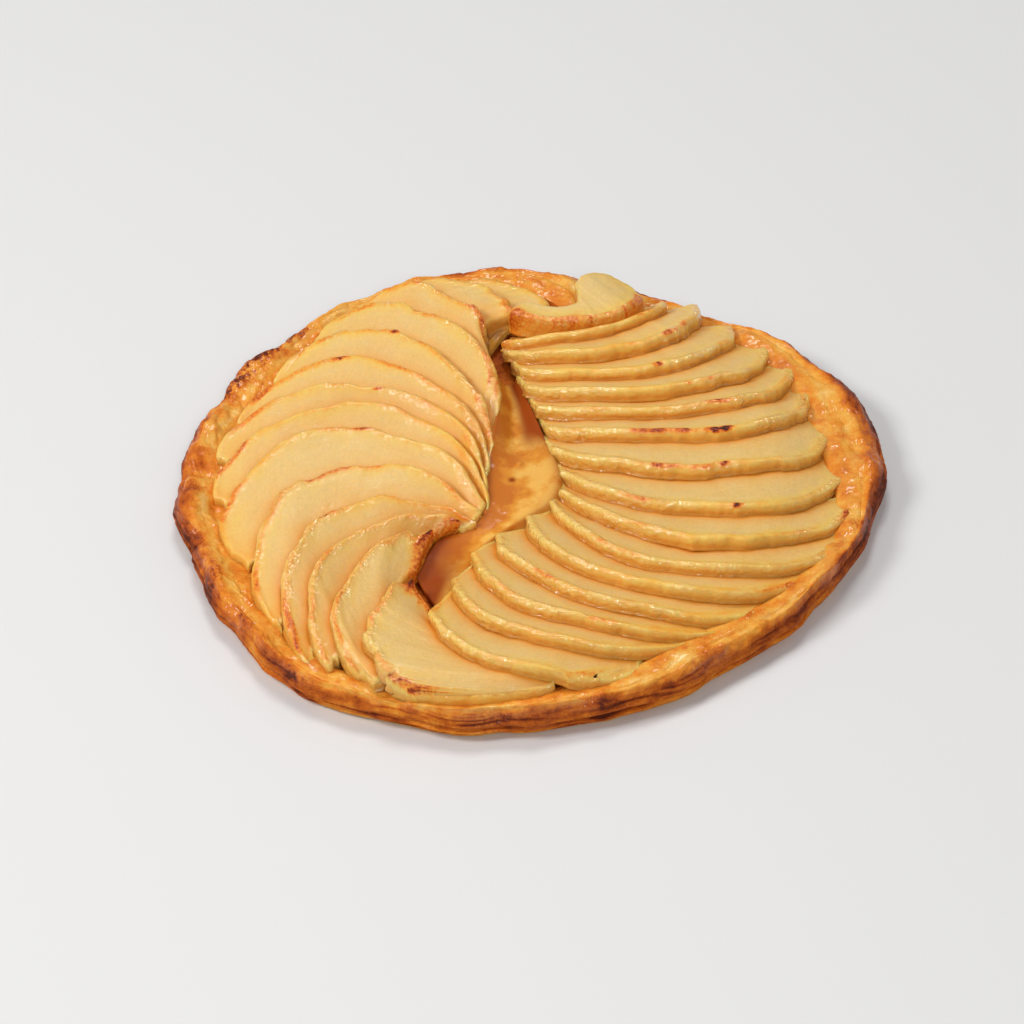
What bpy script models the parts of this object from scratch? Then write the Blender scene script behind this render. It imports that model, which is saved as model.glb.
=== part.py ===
"""Apple tartlet, 146 mm across: a disc of puff pastry under a spiral of thin apple slices.

The slices are half moons laid clockwise round a long S-shaped opening. Each one lies on the
next, with its peel edge raised and its cut edge down on the pastry, and a pool of compote
shows in the opening. All sizes are in millimetres and are scaled to metres as a mesh is made.
The origin is the middle of the underside.
"""

import math

import bpy

MM = 0.001

# ---- pastry --------------------------------------------------------------------------------
FLOOR = 4.7                     # top of the pastry under the fruit
CREST = 7.9                     # mean height of the rim
FOOT_INSET = 2.2                # how far the underside's edge lies inside the rim's widest line
RIM_RADII = (                   # of the widest line, each 15 degrees from +X towards +Y
    72.8, 70.8, 67.2, 67.4, 69.2, 70.6, 72.0, 73.0, 72.4, 73.2, 73.8, 73.8,
    72.2, 72.8, 74.4, 74.0, 72.3, 70.3, 69.3, 67.7, 67.8, 68.8, 70.8, 72.9,
)
RIM_RIPPLES = ((13, 0.22, 2.6), (17, 0.25, 0.4), (29, 0.20, 5.1))  # waves, mm, phase
RIM_STEPS = 120
# bearing in degrees, half width in degrees, height in mm: blisters (+) and folds (-) of the rim
RIM_FEATURES = (
    (2, 9, 0.9), (15, 6, -0.5), (26, 6, 0.5), (45, 30, -2.0), (94, 5, 0.9), (104, 5, -0.7),
    (128, 8, 1.0), (139, 3.5, -1.6), (147, 4, 0.8), (158, 3.5, -1.5), (167, 5, 1.0),
    (176, 3.5, -1.6), (186, 5, 0.9), (196, 4, -1.0), (207, 5, 1.1), (218, 4, -0.7),
    (230, 8, -1.3), (243, 5, 0.5), (252, 5, 0.6), (268, 4, -0.5), (282, 7, 0.5), (300, 5, -0.4),
    (312, 6, 0.7), (330, 5, -0.5), (343, 6, 0.9),
)
RIM_CLEARANCE = 1.3             # from the outermost slice end to the inner wall of the rim

# ---- apple slices --------------------------------------------------------------------------
SLICES = 30
BED = 5.0                       # lowest point of a slice, just clear of the pastry
PITCH = 3.2                     # rise from one slice to the next where they overlap
THICKNESS = 2.75                # mean thickness of a slice
THICKNESS_SPREAD = 0.12
ARC = math.radians(64)          # half the angle that a peel edge turns through
REACH = ((0.0, 1.15), (0.25, 1.9), (0.6, 1.9), (1.0, 0.8))  # place along a slice, width in steps
TIP_THINNING = 0.16             # share of the thickness lost at both ends
EDGE_INSET = 0.035              # rounding of the edges, as a share of a slice's width
END_INSET = 0.011               # rounding of the ends, as a share of its length
COLUMNS = 11
ROWS = 4
# The fan's ribs, the peel edges of the slices so numbered: inner end x, y, outer end x, y,
# height of the arc over its chord, and how far its crown leans to the outer end.
RIBS = {
    0: (11.0, 48.0, 36.0, 49.0, 6.5, 0.15),
    1: (9.0, 44.0, 38.5, 44.0, 7.0, 0.15),
    2: (5.8, 40.5, 44.0, 45.0, 8.5, 0.25),
    3: (6.2, 36.8, 50.5, 41.0, 12.5, 0.15),
    5: (6.2, 24.0, 60.0, 23.0, 13.0, 0.20),
    7: (5.5, 10.0, 62.5, 4.0, 12.0, 0.30),
    9: (4.5, -4.0, 60.5, -22.0, 15.5, 0.10),
    11: (-0.3, -12.2, 52.0, -42.0, 17.5, 0.0),
    13: (-13.9, -17.9, 29.0, -55.5, 12.5, -0.05),
    15: (-25.5, -28.5, 12.5, -59.5, 12.5, -0.15),
    16: (-31.0, -34.5, -4.0, -64.8, 11.0, -0.12),
    16.5: (-32.5, -30.5, -24.0, -63.6, 10.5, 0.05),
    17: (-33.0, -26.5, -41.0, -58.0, 9.3, 0.25),
    17.5: (-29.3, -19.2, -46.3, -53.6, 10.0, 0.18),
    18: (-24.3, -13.0, -50.5, -48.5, 11.0, 0.06),
    19: (-17.6, -12.4, -56.0, -43.0, 16.0, -0.05),
    20: (-15.5, -12.1, -60.5, -34.5, 20.0, -0.05),
    22: (-12.0, -9.0, -65.5, 6.0, 23.0, 0.05),
    23: (-10.9, -5.4, -62.8, 20.8, 21.5, 0.02),
    24: (-10.0, -1.5, -57.0, 33.0, 19.0, 0.0),
    26: (-4.8, 11.0, -37.0, 53.0, 14.0, 0.20),
    27: (1.0, 25.5, -26.0, 62.0, 10.0, 0.10),
    28: (4.0, 44.8, -15.5, 66.5, 5.0, 0.05),
    30: (21.0, 50.0, 7.0, 67.5, 3.5, 0.0),
}
# Slices that are shorter or narrower than their ribs: the shares of the cut edge taken off at
# the inner end and at the outer end, and the width as a share of REACH
SHORTENED = {
    3: (0.0, 0.05, 1.0),
    4: (0.0, 0.09, 1.0),
    5: (0.0, 0.05, 1.0),
    14: (0.0, 0.04, 1.0),
    15: (0.0, 0.12, 0.95),
    16: (0.0, 0.10, 0.9),
    17: (0.0, 0.04, 0.7),
    18: (0.0, 0.14, 0.6),
    19: (0.0, 0.06, 0.8),
    28: (0.15, 0.0, 0.9),
    29: (0.15, 0.0, 0.9),
}
# The small crescent laid last, over both ends of the spiral: its cut edge with the core's notch,
# from the inner end to the outer one
NOTCHED_EDGE = (
    (9.0, 45.0), (13.5, 46.8), (17.0, 44.5), (20.0, 43.2), (23.6, 43.6), (25.0, 47.0),
    (26.0, 51.0), (29.0, 52.8), (33.5, 52.2), (37.0, 49.0),
)
LAST_UNDERSIDE = 11.9           # at the inner end
LAST_FALL = 0.05                # its fall for each mm towards the outer end
LAST_THICKNESS = 3.7

# ---- compote -------------------------------------------------------------------------------
# Crossings of the opening: the slice on its right side, the one on its left, the pool's height
CROSSINGS = (
    (15.7, 17.3, 6.0), (15.0, 17.7, 6.2), (14.0, 18.5, 6.6), (13.0, 20.0, 7.2), (12.0, 21.5, 7.7),
    (11.0, 23.0, 8.1), (10.0, 24.0, 8.3), (9.0, 24.7, 8.2), (8.0, 25.2, 7.9), (7.0, 26.0, 7.2),
    (6.0, 26.5, 6.6), (5.0, 27.0, 6.2), (4.0, 27.3, 6.0),
)
POOL_CLEARANCE = 0.8
POOL_COLUMNS = 5


# ---- curves --------------------------------------------------------------------------------
def blend(low, high, place):
    """Smooth step from 0 to 1 as place goes from low to high."""
    share = min(1.0, max(0.0, (place - low) / (high - low)))
    return share * share * (3.0 - 2.0 * share)


def hermite(before, start, end, after, share):
    """Smooth curve through start and end, with its slopes from the values around them."""
    bend = 2.0 * before - 5.0 * start + 4.0 * end - after
    twist = 3.0 * (start - end) + after - before
    return start + 0.5 * share * (end - before + share * (bend + share * twist))


def along(pairs, place):
    """Value at a place on a list of (place, value) pairs, eased between them."""
    for (low, first), (high, second) in zip(pairs, pairs[1:]):
        if place <= high:
            return first + (second - first) * blend(low, high, place)
    return pairs[-1][1]


def rib_values(number):
    """The six rib sizes at any slice number, read smoothly between the listed ribs."""
    keys = sorted(RIBS)
    number = min(max(number, keys[0]), keys[-1])
    index = max(i for i, key in enumerate(keys[:-1]) if key <= number)
    low, high = keys[index], keys[index + 1]
    span = high - low
    share = (number - low) / span
    values = []
    for column in range(6):
        start, end = RIBS[low][column], RIBS[high][column]

        def slope(i):
            near, far = max(i - 1, 0), min(i + 1, len(keys) - 1)
            rise = RIBS[keys[far]][column] - RIBS[keys[near]][column]
            return rise / (keys[far] - keys[near])

        before = end - 2.0 * span * slope(index)
        after = start + 2.0 * span * slope(index + 1)
        values.append(hermite(before, start, end, after, share))
    return values


def rib_point(number, place):
    """Plan position on the peel edge of a slice, from its inner end (0) to its outer end (1)."""
    ax, ay, bx, by, belly, lean = rib_values(number)
    turn = ARC * (2.0 * place - 1.0)
    across = math.sin(turn) / math.sin(ARC)
    bulge = (math.cos(turn) - math.cos(ARC)) / (1.0 - math.cos(ARC))
    share = 0.5 + 0.5 * across + 0.5 * lean * (1.0 - across * across)
    dx, dy = bx - ax, by - ay
    length = math.hypot(dx, dy)
    return (
        ax + dx * share + dy / length * belly * bulge,
        ay + dy * share - dx / length * belly * bulge,
    )


def field_height(number, rib, place):
    """Underside of slice `number` over the rib `rib`: every slice follows the same surface."""
    peel = BED + PITCH * along(REACH, place)
    stack = BED + PITCH * (SLICES - rib)
    return max(BED, min(peel, stack) + PITCH * (rib - number))


# ---- meshes --------------------------------------------------------------------------------
def add_object(name, points, faces, material):
    mesh = bpy.data.meshes.new(name)
    mesh.from_pydata([tuple(c * MM for c in point) for point in points], [], faces)
    mesh.validate()
    mesh.shade_smooth()
    mesh.set_sharp_from_angle(angle=math.radians(50))
    mesh.materials.append(material)
    thing = bpy.data.objects.new(name, mesh)
    bpy.context.scene.collection.objects.link(thing)
    return thing


def split(a, b, c, d):
    """A quad as two triangles, always along the same diagonal."""
    return [(a, b, c), (a, c, d)]


def lens(name, point, thickness, material):
    """Thin solid over a grid. point(across, along) gives a place on its underside."""
    points = []
    faces = []
    width, height = COLUMNS + 1, ROWS + 1

    def local_thickness(place):
        return thickness * (1.0 - TIP_THINNING * (blend(0.18, 0.0, place) + blend(0.82, 1.0, place)))

    def layer(share):
        first = len(points)
        for row in range(height):
            for column in range(width):
                across = min(max(row / ROWS, EDGE_INSET), 1.0 - EDGE_INSET)
                along_it = min(max(column / COLUMNS, END_INSET), 1.0 - END_INSET)
                x, y, z = point(across, along_it)
                points.append((x, y, z + share * local_thickness(along_it)))
        return first

    bottom = layer(0.0)
    top = layer(1.0)
    loop = [(0, c) for c in range(COLUMNS)]
    loop += [(r, COLUMNS) for r in range(ROWS)]
    loop += [(ROWS, c) for c in range(COLUMNS, 0, -1)]
    loop += [(r, 0) for r in range(ROWS, 0, -1)]
    ring = len(points)
    for row, column in loop:
        x, y, z = point(row / ROWS, column / COLUMNS)
        points.append((x, y, z + 0.45 * local_thickness(column / COLUMNS)))
    for row in range(ROWS):
        for column in range(COLUMNS):
            a = row * width + column
            b, c, d = a + 1, a + 1 + width, a + width
            faces += split(top + a, top + b, top + c, top + d)
            faces += [tuple(reversed(f)) for f in split(bottom + a, bottom + b, bottom + c, bottom + d)]
    for i, (row, column) in enumerate(loop):
        j = (i + 1) % len(loop)
        here = row * width + column
        there = loop[j][0] * width + loop[j][1]
        faces += split(bottom + here, bottom + there, ring + j, ring + i)
        faces += split(ring + i, ring + j, top + there, top + here)
    return add_object(name, points, faces, material)


def fan_point(number):
    """Place on the underside of a fan slice, from its peel edge (0) to its cut edge (1)."""
    start = 0.010 * (1.0 + math.sin(2.1 * number))
    finish = 0.98 + 0.015 * math.sin(1.3 * number)
    inner, outer, share = SHORTENED.get(number, (0.0, 0.0, 1.0))

    def point(across, along_it):
        lobe = 0.025 * math.sin(math.pi * min(1.0, 0.15 + across))
        end = finish + lobe * blend(0.7, 1.0, along_it) - outer * across
        begin = start + inner * across
        place = begin + along_it * (end - begin)
        width = along(REACH, place) * share
        if number == 2:
            width = 1.1 + 0.6 * blend(0.45, 0.8, place)
        corner = 0.30 * blend(0.10, 0.0, along_it) + 0.35 * blend(0.90, 1.0, along_it)
        wave = 0.05 * math.sin(13.0 * place + 2.0 * number) * math.sin(math.pi * along_it)
        rib = number + (wave - corner * width * 0.25) * (1.0 - across) ** 2 - across * width
        x, y = rib_point(rib, place)
        return x, y, field_height(number, rib, place)

    return point


def notched_point(across, along_it):
    """Place on the underside of the crescent laid last."""
    front = rib_point(1.0, along_it)
    spot = along_it * (len(NOTCHED_EDGE) - 1)
    index = min(int(spot), len(NOTCHED_EDGE) - 2)
    share = spot - index
    knots = [NOTCHED_EDGE[min(max(index + i, 0), len(NOTCHED_EDGE) - 1)] for i in (-1, 0, 1, 2)]
    back = [hermite(*(knot[axis] for knot in knots), share) for axis in (0, 1)]
    x = front[0] + (back[0] - front[0]) * across
    y = front[1] + (back[1] - front[1]) * across
    return x, y, LAST_UNDERSIDE - LAST_FALL * (x - RIBS[1][0])


def rim_radius(bearing):
    """Radius of the widest line of the rim, with its slow waves."""
    spot = math.degrees(bearing) % 360.0 / 15.0
    index = int(spot)
    knots = [RIM_RADII[(index + i) % 24] for i in (-1, 0, 1, 2)]
    ripple = sum(size * math.sin(count * bearing + phase) for count, size, phase in RIM_RIPPLES)
    return hermite(*knots, spot - index) + ripple + 0.5 * rim_feature(bearing)


def rim_feature(bearing):
    """Height added by the blisters and folds of the rim."""
    degrees = math.degrees(bearing)
    total = 0.0
    for centre, half_width, height in RIM_FEATURES:
        away = abs((degrees - centre + 180.0) % 360.0 - 180.0)
        total += height * blend(half_width, 0.0, away)
    return total


def fan_outline():
    """Radius that the slices reach at each step of bearing, with the rim's clearance."""
    reach = [0.0] * RIM_STEPS
    for number in range(2, SLICES + 1):
        point = fan_point(number)
        for i in range(9):
            for j in range(33):
                x, y, z = point(i / 8, j / 32)
                bearing = math.atan2(y, x)
                if z > CREST + rim_feature(bearing) + 0.4:
                    continue
                spot = bearing / (2.0 * math.pi) * RIM_STEPS
                for step in range(math.floor(spot) - 1, math.floor(spot) + 3):
                    step %= RIM_STEPS
                    reach[step] = max(reach[step], math.hypot(x, y))
    smooth = []
    for step in range(RIM_STEPS):
        near = [reach[(step + i) % RIM_STEPS] for i in (-2, -1, 0, 1, 2)]
        smooth.append(max(reach[step], sum(near) / 5.0) + RIM_CLEARANCE)
    return smooth


# ---- sub-parts -----------------------------------------------------------------------------
def make_pastry(material):
    inner = fan_outline()
    sections = []
    for step in range(RIM_STEPS):
        bearing = 2.0 * math.pi * step / RIM_STEPS
        outer = rim_radius(bearing)
        wall = min(inner[step], outer - 2.0)
        width = outer - wall
        crest = CREST + rim_feature(bearing)
        flake = 0.35 * math.sin(11.0 * bearing) + 0.25 * math.sin(19.0 * bearing + 1.0)
        sections.append((
            (outer - FOOT_INSET, 0.0),
            (outer - 1.1, 0.8),
            (outer - 1.7 - 0.4 * flake, 1.4),
            (outer - 0.2 + 0.5 * flake, 2.2),
            (outer - 0.9, 2.9),
            (outer, 3.8 + 0.3 * flake),
            (outer - 0.3, 5.3),
            (outer - 0.16 * width - 0.4, 0.15 * FLOOR + 0.85 * crest - 0.35),
            (outer - 0.42 * width, crest),
            (outer - 0.68 * width, crest - 0.5),
            (wall + min(0.6, 0.12 * width), 0.5 * (crest + FLOOR)),
            (wall, FLOOR),
            (0.62 * wall, FLOOR),
        ))
    rings = len(sections[0])
    points = []
    for step, section in enumerate(sections):
        bearing = 2.0 * math.pi * step / RIM_STEPS
        points += [(r * math.cos(bearing), r * math.sin(bearing), z) for r, z in section]
    faces = []
    for step in range(RIM_STEPS):
        here, there = step * rings, (step + 1) % RIM_STEPS * rings
        for ring in range(rings - 1):
            faces += split(here + ring, there + ring, there + ring + 1, here + ring + 1)
    points += [(0.0, 0.0, 0.0), (0.0, 0.0, FLOOR)]
    under, over = len(points) - 2, len(points) - 1
    for step in range(RIM_STEPS):
        here, there = step * rings, (step + 1) % RIM_STEPS * rings
        faces.append((under, there, here))
        faces.append((here + rings - 1, there + rings - 1, over))
    return add_object("pastry", points, faces, material)


def make_compote(material):
    points = []
    faces = []
    sides = POOL_COLUMNS + 1
    for right, left, height in CROSSINGS:
        start, end = rib_point(left, 0.0), rib_point(right, 0.0)
        gap = math.dist(start, end)
        for column in range(sides):
            share = (POOL_CLEARANCE + (gap - 2.0 * POOL_CLEARANCE) * column / POOL_COLUMNS) / gap
            x = start[0] + (end[0] - start[0]) * share
            y = start[1] + (end[1] - start[1]) * share
            dish = 0.5 * math.sin(math.pi * column / POOL_COLUMNS)
            points.append((x, y, height - dish))
    count = len(points)
    points += [(x, y, FLOOR + 0.3) for x, y, _ in points]
    last = len(CROSSINGS) - 1
    for row in range(last):
        for column in range(POOL_COLUMNS):
            a = row * sides + column
            b, c, d = a + 1, a + 1 + sides, a + sides
            faces += split(a, b, c, d)
            faces += split(count + a, count + d, count + c, count + b)
        a = row * sides
        faces += split(a, a + sides, count + a + sides, count + a)
        a += POOL_COLUMNS
        faces += split(a + sides, a, count + a, count + a + sides)
    for column in range(POOL_COLUMNS):
        a = column
        faces += split(a + 1, a, count + a, count + a + 1)
        a = last * sides + column
        faces += split(a, a + 1, count + a + 1, count + a)
    return add_object("compote", points, faces, material)


def make_slices(material):
    slices = [lens("slice_01", notched_point, LAST_THICKNESS, material)]
    for number in range(2, SLICES + 1):
        thickness = THICKNESS + THICKNESS_SPREAD * math.sin(2.7 * number)
        name = f"slice_{number:02d}"
        slices.append(lens(name, fan_point(number), thickness, material))
    return slices


def make_material(name, colour, roughness):
    material = bpy.data.materials.new(name)
    material.use_nodes = True
    shader = material.node_tree.nodes["Principled BSDF"]
    shader.inputs["Base Color"].default_value = (*colour, 1.0)
    shader.inputs["Roughness"].default_value = roughness
    shader.inputs["Metallic"].default_value = 0.0
    material.diffuse_color = (*colour, 1.0)
    return material


def centre_on_origin(pastry, things):
    """Shift everything so that the origin is the middle of the pastry's box."""
    xs = [v.co.x for v in pastry.data.vertices]
    ys = [v.co.y for v in pastry.data.vertices]
    middle_x = (min(xs) + max(xs)) / 2.0
    middle_y = (min(ys) + max(ys)) / 2.0
    for thing in things:
        for vertex in thing.data.vertices:
            vertex.co.x -= middle_x
            vertex.co.y -= middle_y


def main():
    for thing in list(bpy.data.objects):
        bpy.data.objects.remove(thing, do_unlink=True)
    crust = make_material("baked_pastry", (0.62, 0.30, 0.09), 0.55)
    apple = make_material("baked_apple", (0.80, 0.56, 0.22), 0.35)
    fruit = make_material("compote", (0.62, 0.29, 0.06), 0.15)
    pastry = make_pastry(crust)
    things = [pastry, make_compote(fruit)] + make_slices(apple)
    centre_on_origin(pastry, things)


main()
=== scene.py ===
"""Looks of the apple tartlet: detailed pastry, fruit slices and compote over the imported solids.

Shapes are worked out in millimetres from the same named sizes as the solids, then scaled to
metres. The slices follow one family of curves, the ribs, that fans round the opening.
"""

import math

import bpy
import numpy as np
from mathutils import Matrix, Vector


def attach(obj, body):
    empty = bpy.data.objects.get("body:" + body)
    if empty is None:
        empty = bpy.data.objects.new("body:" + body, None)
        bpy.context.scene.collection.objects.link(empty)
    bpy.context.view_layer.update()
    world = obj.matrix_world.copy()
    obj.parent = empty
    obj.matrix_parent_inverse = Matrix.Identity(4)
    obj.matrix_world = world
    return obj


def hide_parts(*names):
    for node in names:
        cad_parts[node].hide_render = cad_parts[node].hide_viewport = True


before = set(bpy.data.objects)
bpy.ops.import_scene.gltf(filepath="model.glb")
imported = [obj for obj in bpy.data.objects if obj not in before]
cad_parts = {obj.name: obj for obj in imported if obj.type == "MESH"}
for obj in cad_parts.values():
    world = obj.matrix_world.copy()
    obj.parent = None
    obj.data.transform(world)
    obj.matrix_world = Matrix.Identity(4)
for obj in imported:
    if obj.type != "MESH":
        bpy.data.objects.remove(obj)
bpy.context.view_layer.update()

MM = 0.001

# ---- sizes shared with the solids, in mm ----
FLOOR = 4.7
CREST = 7.9
FOOT_INSET = 2.2
RIM_RADII = (                   # every 15 degrees
    72.8, 70.8, 67.2, 67.4, 69.2, 70.6, 72.0, 73.0, 72.4, 73.2, 73.8, 73.8,
    72.2, 72.8, 74.4, 74.0, 72.3, 70.3, 69.3, 67.7, 67.8, 68.8, 70.8, 72.9,
)
# Waves in the outline: how many in a turn, size, phase
RIM_RIPPLES = ((13, 0.22, 2.6), (17, 0.25, 0.4), (29, 0.20, 5.1))
RIM_STEPS = 120
# Lobes and dents of the rim: bearing in degrees, half width, height
RIM_FEATURES = (
    (2, 9, 0.9), (15, 6, -0.5), (26, 6, 0.5), (45, 30, -2.0), (94, 5, 0.9), (104, 5, -0.7),
    (128, 8, 1.0), (139, 3.5, -1.6), (147, 4, 0.8), (158, 3.5, -1.5), (167, 5, 1.0),
    (176, 3.5, -1.6), (186, 5, 0.9), (196, 4, -1.0), (207, 5, 1.1), (218, 4, -0.7),
    (230, 8, -1.3), (243, 5, 0.5), (252, 5, 0.6), (268, 4, -0.5), (282, 7, 0.5), (300, 5, -0.4),
    (312, 6, 0.7), (330, 5, -0.5), (343, 6, 0.9),
)
RIM_CLEARANCE = 1.3
SLICES = 30
FIRST_LEFT = 17                 # the slices from this one on are the left-hand fan
BED = 5.0                       # height of the dough under the slices
PITCH = 3.2                     # rise for each slice that lies underneath
ARC = math.radians(64)
# Width of a slice, in ribs, at places along it from its inner end (0) to its outer end (1)
REACH = ((0.0, 1.15), (0.25, 1.9), (0.6, 1.9), (1.0, 0.8))
# Peel edges of the slices: inner end x, y, outer end x, y, belly, lean
RIBS = {
    0: (11.0, 48.0, 36.0, 49.0, 6.5, 0.15),
    1: (9.0, 44.0, 38.5, 44.0, 7.0, 0.15),
    2: (5.8, 40.5, 44.0, 45.0, 8.5, 0.25),
    3: (6.2, 36.8, 50.5, 41.0, 12.5, 0.15),
    5: (6.2, 24.0, 60.0, 23.0, 13.0, 0.20),
    7: (5.5, 10.0, 62.5, 4.0, 12.0, 0.30),
    9: (4.5, -4.0, 60.5, -22.0, 15.5, 0.10),
    11: (-0.3, -12.2, 52.0, -42.0, 17.5, 0.0),
    13: (-13.9, -17.9, 29.0, -55.5, 12.5, -0.05),
    15: (-25.5, -28.5, 12.5, -59.5, 12.5, -0.15),
    16: (-31.0, -34.5, -4.0, -64.8, 11.0, -0.12),
    16.5: (-32.5, -30.5, -24.0, -63.6, 10.5, 0.05),
    17: (-33.0, -26.5, -41.0, -58.0, 9.3, 0.25),
    17.5: (-29.3, -19.2, -46.3, -53.6, 10.0, 0.18),
    18: (-24.3, -13.0, -50.5, -48.5, 11.0, 0.06),
    19: (-17.6, -12.4, -56.0, -43.0, 16.0, -0.05),
    20: (-15.5, -12.1, -60.5, -34.5, 20.0, -0.05),
    22: (-12.0, -9.0, -65.5, 6.0, 23.0, 0.05),
    23: (-10.9, -5.4, -62.8, 20.8, 21.5, 0.02),
    24: (-10.0, -1.5, -57.0, 33.0, 19.0, 0.0),
    26: (-4.8, 11.0, -37.0, 53.0, 14.0, 0.20),
    27: (1.0, 25.5, -26.0, 62.0, 10.0, 0.10),
    28: (4.0, 44.8, -15.5, 66.5, 5.0, 0.05),
    30: (21.0, 50.0, 7.0, 67.5, 3.5, 0.0),
}
# Slices with a shorter cut edge: what is off its inner end and its outer end, share of the width
SHORTENED = {
    3: (0.0, 0.05, 1.0), 4: (0.0, 0.09, 1.0), 5: (0.0, 0.05, 1.0), 14: (0.0, 0.04, 1.0),
    15: (0.0, 0.12, 0.95), 16: (0.0, 0.10, 0.9), 17: (0.0, 0.04, 0.7), 18: (0.0, 0.14, 0.6),
    19: (0.0, 0.06, 0.8), 28: (0.15, 0.0, 0.9), 29: (0.15, 0.0, 0.9),
}
# Back edge of the last slice
NOTCHED_EDGE = (
    (9.0, 45.0), (13.5, 46.8), (17.0, 44.5), (20.0, 43.2), (23.6, 43.6), (25.0, 47.0),
    (26.0, 51.0), (29.0, 52.8), (33.5, 52.2), (37.0, 49.0),
)
LAST_UNDERSIDE = 11.9
LAST_FALL = 0.05
LAST_THICKNESS = 3.7
# Sides of the compote: rib whose inner end is on the right, rib on the left, height
CROSSINGS = (
    (15.7, 17.3, 6.0), (15.0, 17.7, 6.2), (14.0, 18.5, 6.6), (13.0, 20.0, 7.2), (12.0, 21.5, 7.7),
    (11.0, 23.0, 8.1), (10.0, 24.0, 8.3), (9.0, 24.7, 8.2), (8.0, 25.2, 7.9), (7.0, 26.0, 7.2),
    (6.0, 26.5, 6.6), (5.0, 27.0, 6.2), (4.0, 27.3, 6.0),
)

# ---- sizes of the finer surface, in mm ----
SLICE_COLUMNS = 190
SLICE_ROWS = 26
LIP_ROWS = 7                    # of them close to the peel edge
FULL_THICKNESS = 3.15           # of a slice, which rests on the next with only a film between
TIP_SETTLING = 0.7              # how far the outer ends have sunk in baking
TIP_SHRINK = 0.38               # share of their thickness that the outer ends have lost
SUNK_SIDE = 325.0               # bearing of the side where the ends have sunk in
BASE_DROP = 0.15                # how far its underside settles below the solid's
LAST_HANG = 1.8                 # how far the ends of the last slice sag to the one below
LAST_TAPER = 0.55               # share of its thickness that its outer end has lost
LAST_HEAD = 0.25                # how far its inner end swells
LIP_INSET = 0.80                # from a slice's edge to where its flat top begins
LEAST_WIDTH = 2.3               # of a slice, and its least length, that the insets reckon with
LEAST_LENGTH = 12.0
TOAST_REACH = 0.55              # of the toasting on the flat top, from the lip
GOLD_REACH = (2.6, 1.5)         # of the golden colour from the lip: last slice, other slices
TOAST_DEPTH = (1.2, 0.19)       # share of the edge's height that is toasted, likewise
# Section of a slice's edge: share of the thickness, distance out from the nominal edge
EDGE_SECTION = (
    (0.0, 0.55), (0.07, 0.30), (0.16, 0.18), (0.30, 0.18), (0.46, 0.27), (0.62, 0.28),
    (0.76, 0.20), (0.88, 0.04), (0.962, -0.24),
)
# Toasted places: slice, place along it, half width along it, strength
TOASTED = (
    (1, 0.47, 0.010, 0.6), (1, 0.72, 0.02, 0.3), (1, 0.93, 0.12, 0.25),
    (2, 0.62, 0.03, 0.5), (2, 0.7, 0.06, 0.35), (3, 0.62, 0.02, 0.6), (3, 0.72, 0.03, 0.5),
    (4, 0.47, 0.015, 0.9), (4, 0.8, 0.06, 0.3), (5, 0.5, 0.012, 0.7), (5, 0.57, 0.03, 0.5),
    (6, 0.4, 0.04, 0.4), (6, 0.52, 0.05, 0.6), (7, 0.28, 0.04, 0.6), (7, 0.37, 0.06, 0.6),
    (7, 0.45, 0.014, 1.2), (7, 0.49, 0.014, 1.3), (8, 0.32, 0.05, 0.55), (8, 0.42, 0.05, 0.55),
    (8, 0.49, 0.014, 1.1), (9, 0.56, 0.016, 1.1), (9, 0.3, 0.04, 0.35), (10, 0.98, 0.03, 0.5),
    (11, 0.27, 0.04, 0.35), (12, 0.9, 0.08, 0.4), (13, 0.35, 0.06, 0.3), (15, 0.05, 0.04, 0.5),
    (16, 0.1, 0.06, 0.4), (17, 0.0, 0.05, 0.5), (17, 0.85, 0.1, 0.3), (18, 0.0, 0.05, 0.5),
    (19, 0.0, 0.04, 0.5), (21, 0.5, 0.1, 0.35), (22, 0.45, 0.03, 0.6), (24, 0.52, 0.015, 0.9),
    (25, 0.69, 0.015, 0.9), (26, 0.56, 0.015, 0.9),
)
# Browned ends: slice, which end (0 inner, 1 outer), reach in mm, strength
BROWNED_ENDS = (
    (1, 0, 3.0, 0.35), (2, 0, 2.5, 0.4), (17, 0, 3.0, 0.6), (18, 0, 3.5, 0.6), (19, 0, 2.5, 0.5),
    (16, 0, 1.5, 0.25), (17, 1, 4.0, 0.2), (10, 1, 2.0, 0.5), (12, 1, 5.0, 0.22),
    (11, 1, 3.0, 0.2), (20, 1, 3.0, 0.2), (21, 1, 5.0, 0.25), (22, 1, 4.0, 0.2), (23, 1, 3.0, 0.2),
    (25, 1, 4.0, 0.2), (8, 1, 3.0, 0.15), (9, 1, 3.0, 0.15), (30, 0, 5.0, 0.2),
    (27, 0, 6.0, 0.15), (28, 0, 8.0, 0.2), (29, 0, 8.0, 0.2),
)
# Clusters of wet glints: first and last slice, place along it, half width along it, strength
WET_CLUSTERS = (
    (2, 4, 0.04, 0.08, 1.3), (5, 8, 0.06, 0.11, 1.7), (3, 5, 0.62, 0.12, 0.7),
    (6, 7, 0.62, 0.08, 0.7), (8, 10, 0.14, 0.13, 1.5), (9, 12, 0.22, 0.16, 1.2),
    (13, 16, 0.35, 0.20, 1.4), (11, 13, 0.12, 0.08, 1.2), (17, 19, 0.50, 0.30, 1.4),
    (19, 21, 0.65, 0.22, 1.0), (22, 24, 0.45, 0.15, 0.5), (25, 28, 0.10, 0.15, 0.6),
    (1, 1, 0.25, 0.15, 0.8), (1, 1, 0.62, 0.1, 0.5), (3, 11, 0.92, 0.06, 0.5),
)
POOL_ROWS = 150
POOL_COLUMNS = 44
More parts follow.
